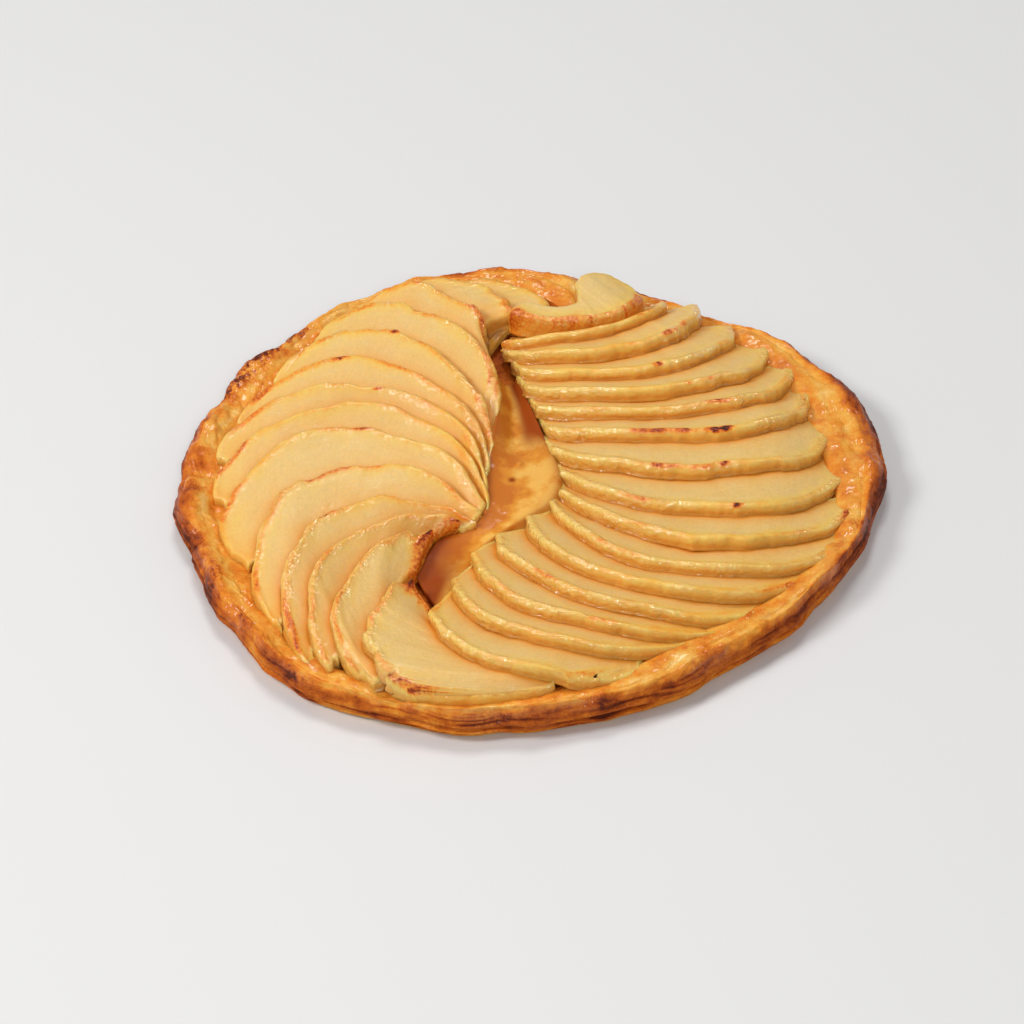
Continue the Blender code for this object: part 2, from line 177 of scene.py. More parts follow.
# Small bubbles and dark flecks in the compote: x, y, radius
BUBBLES = ((-1.7, 3.3, 0.9), (2.4, 8.6, 0.6))
FLECKS = ((-4.7, -1.4, 0.7),)
RIM_TURNS = 960                 # steps of the rim's surface round the part
RIM_CUTS = (3, 4, 5, 5, 5, 6, 7, 8, 8, 7, 6, 4, 3, 3)   # steps between the points of its section
MEAN_RADIUS = 72.0
BANK_HEIGHT = 7.3               # of the dough that has risen against the ends of the slices
LOW_BANK_SIDE = 150.0           # bearing of the side where it has risen less
CRIMPED = (162.0, 36.0)         # bearing of the side with the deepest folds, half width
# Scorched places on the rim: bearing in degrees, half width, share of the rim's width from the
# outside (0) to the inside (1), strength
SCORCHED = (
    (127, 6.0, 0.35, 3.0), (119, 3.5, 0.35, 2.2), (136, 3.0, 0.3, 2.4), (146, 2.0, 0.3, 1.2),
    (264.5, 0.7, 0.2, 1.4), (178, 3, 0.25, 0.9), (187, 3, 0.35, 0.8), (163, 2.5, 0.6, 0.8),
    (186, 2.0, 0.3, 1.0), (198, 1.6, 0.35, 0.9), (213, 3.0, 0.25, 1.1), (225, 1.6, 0.3, 0.7),
    (248, 3, 0.15, 0.7), (328, 1.0, 0.9, 1.5), (328, 1.6, 0.45, 1.4), (318, 2, 0.4, 0.7),
    (3, 9, 0.12, 0.55), (14, 6, 0.15, 0.5), (352, 7, 0.15, 0.5), (30, 6, 0.2, 0.7),
    (338, 5, 0.2, 0.7), (283, 3, 0.3, 0.5), (262, 2, 0.25, 0.6), (308, 4, 0.4, 0.4),
    (200, 3, 0.5, 0.4), (110, 5, 0.3, 0.4), (86, 2.0, 0.3, 1.4), (78, 4.0, 0.35, 1.2),
    (71, 3.0, 0.45, 0.8), (60, 4, 0.2, 0.6), (92, 8.0, 0.95, 0.7),
)
# Broad browning of the rim: bearing, half width, share of its width that it covers, strength
BAKED = (
    (352, 34, 0.7, 0.20), (30, 20, 0.6, 0.14), (172, 34, 0.9, 0.20), (264, 34, 0.30, 0.10),
    (80, 14, 0.8, 0.18), (320, 20, 0.5, 0.12),
)

# ---- colours, linear ----
FLESH = ((0.76, 0.55, 0.22), (0.76, 0.475, 0.14))
GOLD = ((0.80, 0.56, 0.125), (0.78, 0.36, 0.034))
GOLD_GRAINS = (0.78, 0.33, 0.025)
# Painted shade under the peel edges, where the glaze also gathers
CREVICE_SHADE = (0.72, 0.26, 0.025)
# Each ramp runs from little baked to much baked
TOAST_RAMP = (
    (0.25, (0.80, 0.38, 0.040)), (0.5, (0.76, 0.22, 0.014)), (0.78, (0.42, 0.055, 0.004)),
    (1.0, (0.05, 0.008, 0.003)),
)
CRUST_RAMP = (
    (0.0, (0.84, 0.57, 0.19)), (0.25, (0.79, 0.38, 0.058)), (0.45, (0.72, 0.23, 0.020)),
    (0.62, (0.55, 0.125, 0.010)), (0.82, (0.31, 0.052, 0.006)), (1.0, (0.11, 0.018, 0.005)),
)
# From the dark to the pale parts of the compote
COMPOTE_RAMP = (
    (0.2, (0.56, 0.16, 0.012)), (0.55, (0.70, 0.27, 0.025)), (0.9, (0.80, 0.43, 0.085)),
)
# Painted shade at the sides and in the narrow ends of the compote, and the colour of its dark
# flecks
COMPOTE_SHADE_AND_FLECKS = (0.30, 0.055, 0.006)
TABLE = (0.71, 0.705, 0.70)

# ---- surroundings, in metres ----
TABLE_HALF = 3.0
TABLE_DROP = 0.0002
WORLD_STRENGTH = 0.30
# Lamps, all aimed at the origin: name, place, size, watts
LAMPS = (
    ("key", (-0.74, 0.02, 0.78), (0.32, 0.32), 6.1),
    ("front", (-0.12, -0.80, 0.70), (0.20, 0.20), 2.4),
    ("fill", (0.80, -0.15, 0.60), (0.5, 0.5), 0.4),
    ("top", (0.15, 0.45, 1.15), (0.4, 0.3), 4.9),
)
CAMERA_LENS = 164.2
CAMERA_SENSOR = 36.0
CAMERA_PLACE = (-195.8, -709.2, 631.0)      # in mm, before the part is centred
# Directions of the camera's right, up and back
CAMERA_AXES = (
    (0.95577, -0.29164, -0.03817), (0.21815, 0.61584, 0.75707), (-0.19729, -0.73190, 0.65222),
)


# ---- curves ----
def blend(low, high, place):
    """Smooth step from 0 at low to 1 at high, where low may be the greater."""
    share = np.clip((place - low) / (high - low), 0.0, 1.0)
    return share * share * (3.0 - 2.0 * share)


def bell(share):
    """1 in the middle, falling smoothly to 0 on both sides."""
    return np.exp(-(share**2))


def turned(bearing, centre):
    """Angle from one bearing to another, from -180 to 180 degrees."""
    return (bearing - centre + 180.0) % 360.0 - 180.0


def neighbours(values, index):
    """The four knots round each place on a curve, as hermite takes them."""
    return [values[np.clip(index + i, 0, len(values) - 1)] for i in (-1, 0, 1, 2)]


def hermite(before, start, end, after, share):
    """Smooth curve from start to end through four even knots."""
    bend = 2.0 * before - 5.0 * start + 4.0 * end - after
    twist = 3.0 * (start - end) + after - before
    return start + 0.5 * share * (end - before + share * (bend + share * twist))


def along(pairs, place):
    """Value at each place, blended between pairs of place and value."""
    value = np.full(np.shape(place), pairs[0][1], float)
    for (low, first), (high, second) in zip(pairs, pairs[1:]):
        value = np.where(place > low, first + (second - first) * blend(low, high, place), value)
    return value


RIB_KEYS = np.array(sorted(RIBS), float)
RIB_TABLE = np.array([RIBS[key] for key in sorted(RIBS)])
key_before, _, key_after, _ = neighbours(RIB_KEYS, np.arange(len(RIB_KEYS)))
rib_before, _, rib_after, _ = neighbours(RIB_TABLE, np.arange(len(RIB_KEYS)))
RIB_SLOPES = (rib_after - rib_before) / (key_after - key_before)[:, None]


def rib_point(number, place):
    """Plan position on the peel edge of a slice, from its inner end (0) to its outer end (1)."""
    number, place = np.broadcast_arrays(np.asarray(number, float), np.asarray(place, float))
    number = np.clip(number, RIB_KEYS[0], RIB_KEYS[-1])
    index = np.clip(np.searchsorted(RIB_KEYS, number, side="right") - 1, 0, len(RIB_KEYS) - 2)
    span = (RIB_KEYS[index + 1] - RIB_KEYS[index])[..., None]
    t = (number - RIB_KEYS[index])[..., None] / span
    start, end = RIB_TABLE[index], RIB_TABLE[index + 1]
    values = (
        (2 * t**3 - 3 * t**2 + 1) * start
        + (t**3 - 2 * t**2 + t) * span * RIB_SLOPES[index]
        + (3 * t**2 - 2 * t**3) * end
        + (t**3 - t**2) * span * RIB_SLOPES[index + 1]
    )
    ax, ay, bx, by, belly, lean = np.moveaxis(values, -1, 0)
    turn = ARC * (2.0 * place - 1.0)
    across = np.sin(turn) / math.sin(ARC)
    bulge = (np.cos(turn) - math.cos(ARC)) / (1.0 - math.cos(ARC))
    share = 0.5 + 0.5 * across + 0.5 * lean * (1.0 - across * across)
    dx, dy = bx - ax, by - ay
    length = np.hypot(dx, dy)
    return np.stack([
        ax + dx * share + dy / length * belly * bulge,
        ay + dy * share - dx / length * belly * bulge,
    ], -1)


def field_height(number, rib, place):
    """Height of the underside of a slice on one of the ribs that it covers."""
    peel = BED + PITCH * along(REACH, place)
    stack = BED + PITCH * (SLICES - rib)
    gap = stack - peel
    lower = np.where(gap > 1.0, peel, np.where(gap < -1.0, stack, 0.0))
    soft = stack - (gap + 1.0) ** 2 / 4.0
    return np.maximum(BED, np.where(np.abs(gap) <= 1.0, soft, lower) + PITCH * (rib - number))


# ---- noise ----
def lattice(cells, seed):
    """A fixed value from -1 to 1 for each cell of a grid."""
    ix, iy, iz = (cells[..., i].astype(np.int64) for i in range(3))
    mixed = (ix * 73856093) ^ (iy * 19349663) ^ (iz * 83492791) ^ (seed * 2654435761)
    mixed = (mixed ^ (mixed >> 13)) * 1274126177 & 0xFFFFFFFF
    mixed = (mixed ^ (mixed >> 16)) * 2246822519 & 0xFFFFFFFF
    return (mixed ^ (mixed >> 15) & 0xFFFF) % 65536 / 32767.5 - 1.0


def soft_noise(points, seed):
    """Smooth noise from -1 to 1 at points whose last axis is x, y, z, in units of its own size."""
    cell = np.floor(points)
    f = points - cell
    f = f * f * f * (f * (f * 6.0 - 15.0) + 10.0)
    total = 0.0
    for dx in (0, 1):
        for dy in (0, 1):
            for dz in (0, 1):
                weight = (
                    (f[..., 0] if dx else 1 - f[..., 0])
                    * (f[..., 1] if dy else 1 - f[..., 1])
                    * (f[..., 2] if dz else 1 - f[..., 2])
                )
                total += weight * lattice(cell + (dx, dy, dz), seed)
    return total


def fractal(points, seed, octaves=3):
    total = 0.0
    for octave in range(octaves):
        total += soft_noise(points * 2.1**octave, seed + 7 * octave) / 2.0**octave
    return total


def line_noise(place, size, seed):
    """Smooth noise along a line; size is the length of its features in the line's units."""
    place = np.asarray(place, float)
    points = np.stack([place / size, np.full_like(place, seed * 3.7), np.zeros_like(place)], -1)
    return soft_noise(points, seed)


# ---- mesh helpers ----
def new_object(name, points, faces, paint, grain, material):
    mesh = bpy.data.meshes.new(name)
    mesh.from_pydata((points * MM).tolist(), [], faces)
    mesh.validate()
    mesh.shade_smooth()
    colours = mesh.attributes.new("paint", "FLOAT_COLOR", "POINT")
    colours.data.foreach_set("color", np.ascontiguousarray(paint, np.float32).ravel())
    fibres = mesh.attributes.new("grain", "FLOAT_VECTOR", "POINT")
    fibres.data.foreach_set("vector", np.ascontiguousarray(grain, np.float32).ravel())
    mesh.materials.append(material)
    thing = bpy.data.objects.new(name, mesh)
    bpy.context.scene.collection.objects.link(thing)
    return thing


def grid_faces(rows, columns, first=0):
    r, c = np.meshgrid(np.arange(rows - 1), np.arange(columns - 1), indexing="ij")
    a = first + r * columns + c
    return np.stack([a, a + 1, a + 1 + columns, a + columns], -1).reshape(-1, 4)


def outward(loop):
    """Unit normals in plan of a closed counter-clockwise loop, pointing out of it."""
    step = np.roll(loop, -1, 0) - np.roll(loop, 1, 0)
    step /= np.maximum(np.linalg.norm(step, axis=1, keepdims=True), 1e-9)
    normal = np.stack([step[:, 1], -step[:, 0]], 1)
    for _ in range(2):
        normal = (np.roll(normal, 1, 0) + 2.0 * normal + np.roll(normal, -1, 0)) / 4.0
    return normal / np.maximum(np.linalg.norm(normal, axis=1, keepdims=True), 1e-9)


# ---- slices ----
def fan_surface(number):
    """Function of (across, along) that gives the underside of a slice: plan points and heights."""
    start = 0.010 * (1.0 + math.sin(2.1 * number))
    finish = 0.98 + 0.015 * math.sin(1.3 * number)
    inner, outer, share = SHORTENED.get(number, (0.0, 0.0, 1.0))

    def surface(across, along_it):
        across, along_it = np.broadcast_arrays(across, along_it)
        lobe = 0.025 * np.sin(math.pi * np.minimum(1.0, 0.15 + across))
        end = finish + lobe * blend(0.7, 1.0, along_it) - outer * across
        if number == 2:     # shows beside the last slice, so it is longer and narrower
            end += 0.07 * blend(0.05, 0.5, across)
        end -= 0.03 * blend(0.55, 1.0, across)
        begin = start + inner * across
        place = begin + along_it * (end - begin)
        width = along(REACH, place) * share
        if number == 2:
            width = 1.1 + 0.6 * blend(0.45, 0.8, place)
        corner = 0.30 * blend(0.10, 0.0, along_it) + 0.35 * blend(0.90, 1.0, along_it)
        wave = 0.05 * np.sin(13.0 * place + 2.0 * number) * np.sin(math.pi * along_it)
        ragged = (0.06 + 0.05 * blend(0.3, 0.1, place)) * line_noise(place, 0.07, number)
        ragged += 0.020 * line_noise(place, 0.020, 90 + number)
        near = (1.0 - across) ** 2
        settled = TIP_SETTLING * blend(0.78, 1.0, place)
        rib = number + (wave + ragged - corner * width * 0.25) * near - across * width
        height = np.maximum(field_height(number, rib, place) - settled, FLOOR + 0.1)
        return rib_point(rib, place), height, place

    return surface


def shrunk(plan, place):
    """Share of its thickness that is left to the fruit at each place."""
    bearing = np.degrees(np.arctan2(plan[..., 1], plan[..., 0]))
    away = np.abs(turned(bearing, SUNK_SIDE))
    return 1.0 - TIP_SHRINK * blend(0.48, 0.96, place) * blend(78.0, 55.0, away)


def last_surface(across, along_it):
    """The underside of the small crescent laid last."""
    across, along_it = np.broadcast_arrays(across, along_it)
    front = rib_point(1.0, along_it)
    front[..., 1] += 0.35 * line_noise(along_it, 0.09, 1) * np.sin(math.pi * along_it)
    knots = np.array(NOTCHED_EDGE)
    spot = along_it * (len(knots) - 1)
    index = np.minimum(spot.astype(int), len(knots) - 2)
    share = (spot - index)[..., None]
    back = hermite(*neighbours(knots, index), share)
    plan = front + (back - front) * across[..., None]
    height = LAST_UNDERSIDE - LAST_FALL * (plan[..., 0] - RIBS[1][0])
    return plan, height, along_it


def toast_along(number, place):
    """Strength of the toasting of the peel edge at each place along a slice."""
    total = 0.26 + 0.35 * line_noise(place, 0.09, 300 + number)
    total += 0.25 * line_noise(place, 0.03, 340 + number)
    if number == 1:
        total = 0.82 + 0.5 * (total - 0.26)
    elif number >= FIRST_LEFT:
        total = total + 0.30 + 0.30 * blend(0.6, 1.0, place)
    else:
        total = total + 0.10 - 0.35 * blend(0.30, 0.10, place)
    total = np.clip(total, 0.0, 1.2) * 0.5
    speckle = 0.75 + 0.5 * line_noise(place, 0.012, 380 + number)
    for which, centre, half_width, strength in TOASTED:
        if which == number:
            total += strength * speckle * bell((place - centre) / half_width)
    return total


def wet_along(number, place):
    """Strength of the wet glints at each place along a slice."""
    total = 0.30 + 0.35 * line_noise(place, 0.08, 600 + number)
    for first, last, centre, half_width, strength in WET_CLUSTERS:
        if first <= number <= last:
            total += strength * bell((place - centre) / half_width)
    return total


def browned_end(number, place, length, across=0.0):
    """Strength of the browning that spreads from an end of a slice."""
    total = 0.0
    for which, end, reach, strength in BROWNED_ENDS:
        if which == number:
            away = np.abs(place - end) * length
            uneven = 1.0 + 0.5 * line_noise(across * 9.0 + 0.0 * place, 1.0, 900 + number)
            total += strength * bell(away / (reach * uneven))
    return total


def spread(here, inside, step, least):
    """How far a whole unit of a surface's coordinate would lead away from one of its edges."""
    move = inside - here
    heading = np.gradient(here, axis=0)
    heading /= np.maximum(np.linalg.norm(heading, axis=1, keepdims=True), 1e-9)
    apart = np.abs(heading[:, 0] * move[:, 1] - heading[:, 1] * move[:, 0]) / step
    kernel = np.ones(7) / 7.0
    return np.maximum(np.convolve(np.pad(apart, 3, mode="edge"), kernel, "valid"), least)


def edge_loop(columns, rows):
    """Grid places round the outside of a slice, counter-clockwise from its peel edge."""
    loop = [(0, c) for c in range(columns)]
    loop += [(r, columns - 1) for r in range(1, rows)]
    loop += [(rows - 1, c) for c in range(columns - 2, -1, -1)]
    loop += [(r, 0) for r in range(rows - 2, 0, -1)]
    return np.array(loop)


def ring_faces(lower, upper):
    """Faces between two closed rings of points."""
    return np.stack([lower, np.roll(lower, -1), np.roll(upper, -1), upper], 1).tolist()


def under_faces(columns, rows, first):
    """Faces that close the underside between the two long sides of an edge loop."""
    corner = columns + rows - 2
    size = 2 * columns + 2 * rows - 4
    faces = []
    for c in range(columns - 1):
        far = corner + columns - 1 - c
        face = [c, c + 1, far - 1, far]
        if c == columns - 2:
            face = [c, c + 1] + list(range(columns, corner)) + [far - 1, far]
        elif c == 0:
            face = [c, c + 1, far - 1] + list(range(far, size))
        faces.append([first + k for k in reversed(face)])
    return faces


def make_slice(number, material):
    columns, rows = SLICE_COLUMNS, SLICE_ROWS
    if number == 1:
        surface, full = last_surface, LAST_THICKNESS
    else:
        surface = fan_surface(number)
        full = FULL_THICKNESS + 0.12 * math.sin(2.7 * number)
    u = np.linspace(0.0, 1.0, columns)
    a = np.concatenate([np.linspace(0.0, 0.12, LIP_ROWS), np.linspace(0.155, 1.0, rows - LIP_ROWS)])

    peel, cut = surface(0.0, u)[0], surface(1.0, u)[0]
    length = np.linalg.norm(np.diff(peel, axis=0), axis=1).sum()
    width = spread(peel, surface(0.1, u)[0], 0.1, LEAST_WIDTH)
    peel_inset = LIP_INSET / width
    cut_inset = LIP_INSET / spread(cut, surface(0.9, u)[0], 0.1, LEAST_WIDTH)
    start, finish = surface(a, 0.0)[0], surface(a, 1.0)[0]
    start_inset = LIP_INSET / spread(start, surface(a, 0.02)[0], 0.02, LEAST_LENGTH)[:, None]
    finish_inset = LIP_INSET / spread(finish, surface(a, 0.98)[0], 0.02, LEAST_LENGTH)[:, None]

    def thickness(place, left):
        thin = left - 0.05 * blend(0.08, 0.0, place) - 0.10 * blend(0.85, 1.0, place)
        uneven = 1.0 + 0.045 * line_noise(place, 0.16, 500 + number)
        uneven += 0.03 * line_noise(place, 0.05, 530 + number)
        return full * thin * uneven

    across = peel_inset + (1.0 - peel_inset - cut_inset) * a[:, None]
    along_it = start_inset + (1.0 - start_inset - finish_inset) * u[None, :]
    plan, low, place = surface(across, along_it)
    left = shrunk(plan, place) if number > 1 else 1.0 - LAST_TAPER * blend(0.70, 1.0, place)
    if number > 1:
        low = BED + (low - BED) * left
    sheet = np.concatenate([plan, np.full(plan.shape[:-1] + (1,), 4.0 * number)], -1)
    relief = 0.13 * soft_noise(sheet / 5.5, number) + 0.05 * soft_noise(sheet / 1.7, number + 40)
    from_edge = across * width[None, :]
    ridge = 0.08 * bell((from_edge - 0.8) / 0.7)
    dip = 0.05 * bell((from_edge - 2.6) / 1.2)
    top = low - BASE_DROP + thickness(place, left) + relief + ridge - dip
    if number == 1:
        top += LAST_HEAD * bell(along_it / 0.12)
    top_points = np.concatenate([plan, top[..., None]], -1).reshape(-1, 3)

    loop = edge_loop(columns, rows)
    loop_across, loop_along = a[loop[:, 0]], u[loop[:, 1]]
    rim_plan, rim_low, rim_place = surface(loop_across, loop_along)
    if number > 1:
        rim_low = BED + (rim_low - BED) * shrunk(rim_plan, rim_place)
    normal = outward(rim_plan)
    side_height = top[loop[:, 0], loop[:, 1]] - (rim_low - BASE_DROP)
    hang = 0.0
    if number == 1:
        hang = LAST_HANG * (blend(0.6, 0.0, rim_place) + 0.7 * blend(0.5, 0.9, rim_place))
    rim_wet = wet_along(number, rim_place)
    rough = 0.06 + 0.06 * np.clip(rim_wet - 0.7, 0.0, 1.0)
    rings = []
    for share, out in EDGE_SECTION:
        bump_at = np.concatenate([rim_plan, np.full((len(loop), 1), share * 3.0 + number)], 1)
        out += 0.10 * soft_noise(bump_at / 1.1, number + 80)
        out += 0.14 * soft_noise(bump_at / 3.0, number + 9)
        out += rough * soft_noise(bump_at / 0.55, number + 70)
        height = rim_low - BASE_DROP + share * side_height - (1.0 - share) * hang
        rings.append(np.concatenate([rim_plan + normal * out[:, None], height[:, None]], 1))
    points = np.concatenate([top_points] + rings)

    count = rows * columns
    ring_size = len(loop)
    faces = grid_faces(rows, columns).tolist()
    ids = [count + k * ring_size + np.arange(ring_size) for k in range(len(rings))]
    ids.append(loop[:, 0] * columns + loop[:, 1])
    for lower, upper in zip(ids, ids[1:]):
        faces += ring_faces(lower, upper)
    faces += under_faces(columns, rows, count)

    rim_toast = toast_along(number, rim_place)
    from_lip = np.maximum(from_edge - LIP_INSET, 0.0)
    toast_top = toast_along(number, place) * bell(from_lip / TOAST_REACH)
    toast_top += 0.10 * np.clip(soft_noise(sheet / 2.2, number + 160), 0, 1) ** 2
    toast_top += browned_end(number, along_it, length, across)
    kind = 0 if number == 1 else 1
    gold = bell(from_lip / (GOLD_REACH[kind] + 0.7 * line_noise(place, 0.07, 700 + number)))
    tip = blend(0.09, 0.0, along_it) + 1.3 * blend(0.80, 1.0, along_it)
    # Painted shade on each slice's top, darkest just under the peel edge of the slice above and
    # fading away from it
    shade = np.zeros_like(place)
    if number > 1:
        above = last_surface if number == 2 else fan_surface(number - 1)
        lip = above(0.0, np.linspace(0.0, 1.0, 240))[0]
        away = np.linalg.norm(plan[:, :, None, :] - lip[None, None, :, :], axis=-1).min(-1)
        shade = 0.85 * np.exp(-np.maximum(away - 0.4, 0.0) / 1.2) + 0.28 * np.exp(-away / 5.0)
    wet = 0.02 + 0.06 * soft_noise(sheet / 3.0, number + 200)
    wet += (wet_along(number, place) - 0.1) * bell(from_lip / 0.8)
    paint_top = np.stack([np.maximum(gold, 0.6 * tip), toast_top, shade, wet], -1)
    paints = [paint_top.reshape(-1, 4)]
    on_peel = np.exp(-loop_across / 0.15)
    grain_top = np.stack([along_it * length, from_edge, np.full_like(place, 9.0 * number)], -1)
    grains = [grain_top.reshape(-1, 3)]
    for share, _ in EDGE_SECTION:
        toast = rim_toast * bell((share - 1.0) / TOAST_DEPTH[kind]) * on_peel
        toast += browned_end(number, loop_along, length, loop_across)
        # Painted shade, darker towards the foot of the edge where it meets the slice below and the
        # glaze gathers
        shade = np.full(ring_size, 0.9 * (1.0 - share) ** 2)
        wet = rim_wet * (0.5 + 0.5 * share)
        paints.append(np.stack([np.ones(ring_size), toast, shade, wet], -1))
        grains.append(np.stack([
            loop_along * length, share * 3.0 - 3.0 + loop_across * 10.0,
            np.full(ring_size, 9.0 * number + 4.0),
        ], -1))
    return new_object(
        f"apple_{number:02d}", points + CENTRE, faces, np.concatenate(paints),
        np.concatenate(grains), material,
    )


# ---- pastry ----
def rim_feature(bearing):
    """Extra height of the rim at each bearing, from its lobes and dents."""
    degrees = np.degrees(bearing)
    total = 0.0
    for centre, half_width, height in RIM_FEATURES:
        total += height * blend(half_width, 0.0, np.abs(turned(degrees, centre)))
    return total


def rim_radius(bearing):
    """Radius of the pastry's outline at each bearing."""
    spot = np.degrees(bearing) % 360.0 / 15.0
    index = spot.astype(int)
    knots = [np.array(RIM_RADII)[(index + i) % len(RIM_RADII)] for i in (-1, 0, 1, 2)]
    ripple = sum(size * np.sin(count * bearing + phase) for count, size, phase in RIM_RIPPLES)
    return hermite(*knots, spot - index) + ripple + 0.5 * rim_feature(bearing)


def fan_outline():
    """How far the slices reach all round, where they don't lie over the rim."""
    reach = np.zeros(RIM_STEPS)
    across, along_it = np.meshgrid(np.linspace(0, 1, 9), np.linspace(0, 1, 33), indexing="ij")
    for number in range(2, SLICES + 1):
        plan, height, _ = fan_surface(number)(across, along_it)
        bearing = np.arctan2(plan[..., 1], plan[..., 0])
        radius = np.hypot(plan[..., 0], plan[..., 1])
        radius = np.where(height > CREST + rim_feature(bearing) + 0.4, 0.0, radius)
        spot = np.floor(bearing / (2.0 * math.pi) * RIM_STEPS).astype(int)
        for step in (-1, 0, 1, 2):
            np.maximum.at(reach, (spot + step) % RIM_STEPS, radius)
    near = sum(np.roll(reach, i) for i in (-2, -1, 0, 1, 2)) / 5.0
    return np.maximum(reach, near) + RIM_CLEARANCE


def centre_shift():
    """Shift that puts the middle of the pastry's outline at the origin."""
    bearing = 2.0 * math.pi * np.arange(RIM_STEPS) / RIM_STEPS
    x, y = rim_radius(bearing) * np.cos(bearing), rim_radius(bearing) * np.sin(bearing)
    return np.array([-(x.max() + x.min()) / 2.0, -(y.max() + y.min()) / 2.0, 0.0])


CENTRE = centre_shift()


def make_pastry(material):
    turns = np.arange(RIM_TURNS)
    bearing = 2.0 * math.pi * turns / RIM_TURNS
    outer = rim_radius(bearing)
    steps = np.arange(RIM_STEPS + 1) * 2.0 * math.pi / RIM_STEPS
    outline = fan_outline()
    inner = np.interp(bearing, steps, np.append(outline, outline[0]))
    wall = np.minimum(inner - 0.7, outer - 2.0)
    width = outer - wall
    crest = CREST + rim_feature(bearing)
    flake = 0.35 * np.sin(11.0 * bearing) + 0.25 * np.sin(19.0 * bearing + 1.0)
    circle = np.stack([np.cos(bearing), np.sin(bearing), 0.0 * bearing], -1)
    banked = np.minimum(BANK_HEIGHT + 0.6 * soft_noise(circle * 9.0, 41), crest - 0.2)
    banked -= 2.0 * blend(12.0, 18.0, width)
    banked -= 1.3 * blend(70.0, 35.0, np.abs(np.degrees(bearing) - LOW_BANK_SIDE))
    # Radius and height, from the foot over the layers and the crest to the middle. Below, depth
    # counts these points: 0 the foot, 8 the crest, 10 the dough beside the slices, 14 the middle.
    section = (
        (outer - FOOT_INSET, 0.0),
        (outer - 1.1, 0.8),
        (outer - 1.5 - 0.4 * flake, 1.4),
        (outer - 0.3 + 0.5 * flake, 2.2),
        (outer - 0.7, 2.9),
        (outer, 3.8 + 0.3 * flake),
        (outer - 0.3, 5.3),
        (outer - 0.16 * width - 0.4, 0.15 * FLOOR + 0.85 * crest - 0.35),
        (outer - 0.42 * width, crest),
        (outer - 0.68 * width, crest - 0.5),
        (wall + np.minimum(0.6, 0.12 * width), 0.42 * crest + 0.58 * banked),
        (wall - 2.0, banked),
        (wall - 4.0, banked - 0.6),
        (wall - 6.0, 0.4 * banked + 0.6 * FLOOR),
        (0.62 * wall, FLOOR),
    )
    controls = np.array([np.broadcast_arrays(*pair) for pair in section])
    profile, depth = [], []
    for k, parts in enumerate(RIM_CUTS):
        for part in range(parts):
            share = part / parts
            profile.append(hermite(*neighbours(controls, k), share))
            depth.append(k + share)
    profile.append(controls[-1])
    depth.append(float(len(RIM_CUTS)))
    profile = np.array(profile)
    depth = np.array(depth)[:, None]
    radius, height = profile[:, 0], np.maximum(profile[:, 1], 0.0)
    dr, dz = np.gradient(radius, axis=0), np.gradient(height, axis=0)
    size = np.maximum(np.hypot(dr, dz), 1e-6)
    out_r, out_z = dz / size, -dr / size

    degrees = np.degrees(bearing)[None, :]
    arc = MEAN_RADIUS * bearing[None, :]
    run = np.cumsum(np.hypot(dr, dz), axis=0)
    east, north = MEAN_RADIUS * np.cos(bearing)[None, :], MEAN_RADIUS * np.sin(bearing)[None, :]

    def skin(tangent, across, third=run):
        """Noise coordinates over the surface: feature size along the rim and across it."""
        return np.stack(np.broadcast_arrays(east / tangent, north / tangent, third / across), -1)

    side = blend(0.4, 1.5, depth) * blend(7.4, 5.8, depth)
    upper = blend(5.4, 7.0, depth) * blend(11.6, 10.6, depth)
    warp = 0.8 * soft_noise(skin(11.0, 4.0), 11)
    layers = soft_noise(skin(8.0, 0.42, height + warp), 12)
    plates = soft_noise(skin(14.0, 0.9, height + warp), 18)
    shell = fractal(skin(3.0, 2.0), 13, 3)
    blister = np.clip(soft_noise(skin(3.6, 3.2), 14) - 0.15, 0, 1) ** 0.7
    crag = fractal(skin(2.2, 1.6), 15, 3)
    bend = 0.35 * soft_noise(skin(6.0, 5.0), 17)[..., None]
    long_fold = np.clip(1.0 - np.abs(soft_noise(skin(10.0, 2.6) + bend, 16)) * 2.8, 0, 1) ** 2
    pinch = np.clip(1.0 - np.abs(soft_noise(skin(4.5, 9.0) + bend, 19)) * 3.2, 0, 1) ** 2
    push = side * (0.16 * layers + 0.20 * plates + 0.16 * shell)
    crimped = 0.35 + 0.65 * bell((degrees - CRIMPED[0]) / CRIMPED[1])
    long_fold, pinch = long_fold * crimped, pinch * crimped
    scurf = fractal(skin(1.3, 0.9), 20, 2)
    push += upper * (0.40 * blister + 0.15 * crag - 0.50 * long_fold - 0.40 * pinch + 0.10)
    push += blend(4.6, 5.6, depth) * blend(9.0, 7.6, depth) * 0.13 * scurf
    push *= height > 0.02
    radius = radius + out_r * push
    height = np.maximum(height + out_z * push, 0.0)
    radius[0], height[0] = profile[0, 0], 0.0
    rows = len(radius)
    points = np.stack([radius * np.cos(bearing), radius * np.sin(bearing), height], -1)
    centres = np.array([[0.0, 0.0, 0.0], [0.0, 0.0, FLOOR]])
    faces = []
    for r in range(rows - 1):
        here = r * RIM_TURNS + turns
        faces += ring_faces(here, here + RIM_TURNS)
    last = (rows - 1) * RIM_TURNS
    count = rows * RIM_TURNS
    for c in range(RIM_TURNS):
        d = (c + 1) % RIM_TURNS
        faces += [[count, d, c], [last + c, last + d, count + 1]]

